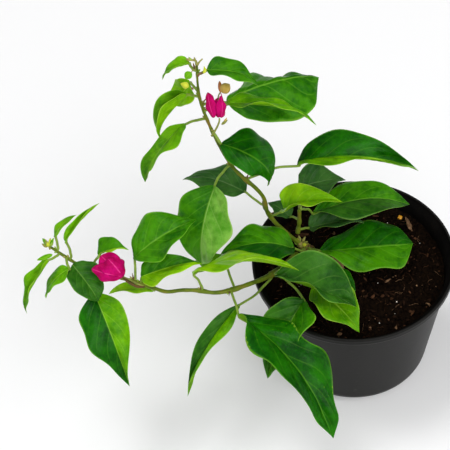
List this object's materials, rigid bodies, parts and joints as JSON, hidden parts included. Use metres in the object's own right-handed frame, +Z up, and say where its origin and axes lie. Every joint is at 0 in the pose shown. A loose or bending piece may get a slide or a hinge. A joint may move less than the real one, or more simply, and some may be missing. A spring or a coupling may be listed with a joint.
{
  "type": "potted climbing shrub",
  "caption": "Young flowering climber with two thin arching stems of glossy pointed leaves and two magenta blooms, in a round black nursery pot.",
  "frame": {"origin": "centre of the pot's flat underside", "axes": "+Z up, -Y towards the side that is looked at, +X to its right; both stems lean out to -X"},
  "size_m": [0.2441, 0.17, 0.245],
  "materials": {
    "pot_plastic": "thin moulded black plastic with a soft sheen",
    "potting_soil": "moist dark potting mix with bark chips and grit",
    "bark": "young grey-brown bark",
    "green_stem": "smooth olive green shoot, reddish at the nodes",
    "leaf": "glossy leaf with paler veins",
    "bract": "papery magenta bract",
    "young_tip": "soft yellow-green buds and young leaves"
  },
  "bodies": {
    "root": {"pot": "pot_plastic", "soil": "potting_soil", "trunk": "bark", "stem_upper": "green_stem", "stem_left": "green_stem", "stem_side_shoot": "green_stem", "leaf_upper_01": "leaf", "leaf_upper_02": "leaf", "leaf_upper_03": "leaf", "leaf_upper_04": "leaf", "leaf_upper_05": "leaf", "leaf_upper_06": "leaf", "leaf_upper_07": "leaf", "leaf_upper_08": "leaf", "leaf_upper_09": "leaf", "leaf_upper_10": "leaf", "leaf_upper_11": "leaf", "leaf_upper_12": "leaf", "leaf_crown_01": "leaf", "leaf_crown_02": "leaf", "leaf_crown_03": "leaf", "leaf_crown_04": "leaf", "leaf_crown_05": "leaf", "leaf_crown_06": "leaf", "leaf_crown_07": "leaf", "leaf_crown_08": "leaf", "leaf_crown_09": "leaf", "leaf_left_01": "leaf", "leaf_left_02": "leaf", "leaf_left_03": "leaf", "leaf_left_04": "leaf", "leaf_left_05": "leaf", "leaf_left_06": "leaf", "leaf_left_07": "leaf", "leaf_left_08": "leaf", "leaf_left_09": "leaf", "leaf_left_10": "leaf", "leaf_left_11": "leaf", "leaf_left_12": "leaf", "leaf_left_13": "leaf", "leaf_left_14": "leaf", "leaf_left_15": "leaf", "bloom_left": "bract", "bloom_upper": "bract", "tip_left": "young_tip", "tip_upper": "young_tip"}
  },
  "joints": []
}
